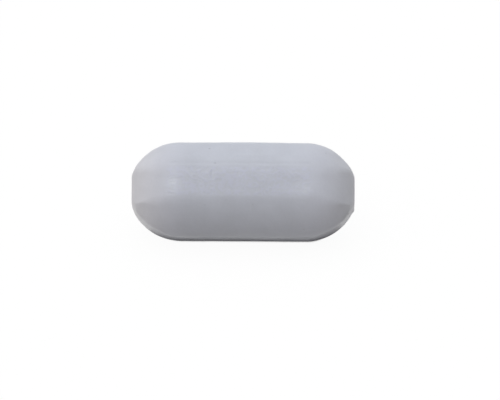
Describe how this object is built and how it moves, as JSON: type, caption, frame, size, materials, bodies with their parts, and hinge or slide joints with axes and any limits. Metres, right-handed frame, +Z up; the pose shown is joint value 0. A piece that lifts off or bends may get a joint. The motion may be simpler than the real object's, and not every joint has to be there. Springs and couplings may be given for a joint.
{
  "type": "magnetic stir bar",
  "caption": "Octagonal stir bar: a rod magnet sealed in a white PTFE jacket with soft ridges and rounded ends. It turns in a liquid over a rotating magnet.",
  "frame": {"origin": "on the surface that the bar lies on, under its middle, at the centre of the flat it rests on", "axes": "+X along the bar, +Z up out of the flat opposite the one it rests on, +Y level, away from the viewer"},
  "size_m": [0.0222, 0.0096, 0.0095],
  "materials": {
    "ptfe": "moulded and sintered PTFE, cool white, waxy satin",
    "alnico": "cast alnico, dull grey, ground on its outside"
  },
  "bodies": {
    "root": {"ptfe_jacket": "ptfe", "bar_magnet": "alnico"}
  },
  "joints": []
}
